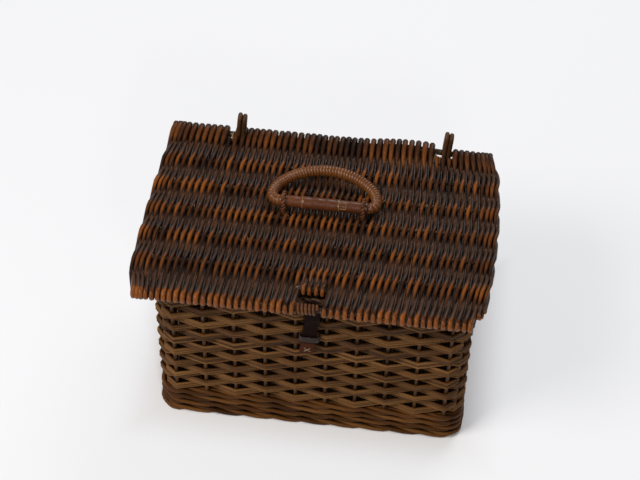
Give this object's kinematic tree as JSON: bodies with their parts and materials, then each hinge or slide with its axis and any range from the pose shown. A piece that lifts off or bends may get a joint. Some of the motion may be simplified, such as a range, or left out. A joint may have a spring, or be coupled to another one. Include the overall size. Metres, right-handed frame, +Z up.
{
  "type": "picnic basket",
  "caption": "Small rectangular woven willow picnic basket with an overhanging hinged lid, a folding ring handle on the lid and a leather closing strap.",
  "frame": {"origin": "Middle of the overall plan of the closed basket, on the ground under it.", "axes": "+X to the right-hand side seen from the front, +Y to the back where the lid is hinged, +Z up."},
  "size_m": [0.3641, 0.2448, 0.24],
  "materials": {
    "side_willow": "brown aged willow, satin",
    "stake_willow": "dark aged willow rod, satin",
    "lid_willow": "very dark aged willow with red-brown worn tops, satin",
    "handle_cane": "orange-brown wrapped cane, glossy",
    "strap_leather": "near-black worn leather with a brown tip",
    "keeper_leather": "greyish worn leather"
  },
  "bodies": {
    "basket": {"front_foot": "side_willow", "front_siding": "side_willow", "front_stakes": "stake_willow", "front_rim": "stake_willow", "right_foot": "side_willow", "right_siding": "side_willow", "right_stakes": "stake_willow", "right_rim": "stake_willow", "back_foot": "side_willow", "back_siding": "side_willow", "back_stakes": "stake_willow", "back_rim": "stake_willow", "left_foot": "side_willow", "left_siding": "side_willow", "left_stakes": "stake_willow", "left_rim": "stake_willow", "base_mat": "side_willow", "base_stick_1": "stake_willow", "base_stick_2": "stake_willow", "base_stick_3": "stake_willow", "base_stick_4": "stake_willow", "base_stick_5": "stake_willow", "strap_keeper": "keeper_leather"},
    "lid": {"lid_weave": "lid_willow", "lid_stick_1": "stake_willow", "lid_stick_2": "stake_willow", "lid_stick_3": "stake_willow", "lid_stick_4": "stake_willow", "lid_stick_5": "stake_willow", "lid_front_stick": "stake_willow", "lid_back_stick": "stake_willow", "lid_back_stick_end": "stake_willow", "slot_bar": "stake_willow", "slot_coil": "lid_willow", "hinge_loop_left": "lid_willow", "hinge_loop_right": "lid_willow", "handle_tie_left": "lid_willow", "handle_tie_right": "lid_willow", "strap": "strap_leather"},
    "handle": {"handle_bar": "handle_cane", "handle_bow": "handle_cane"}
  },
  "joints": [
    {"name": "lid_hinge", "type": "hinge", "parent": "basket", "child": "lid", "pos_m": [0, 0.11568, 0.2005], "axis": [-1, 0, 0], "range_deg": [0, 100]},
    {"name": "handle_hinge", "type": "hinge", "parent": "lid", "child": "handle", "pos_m": [0.00091, 0.01426, 0.2227], "axis": [1, 0, 0], "range_deg": [0, 180]}
  ]
}
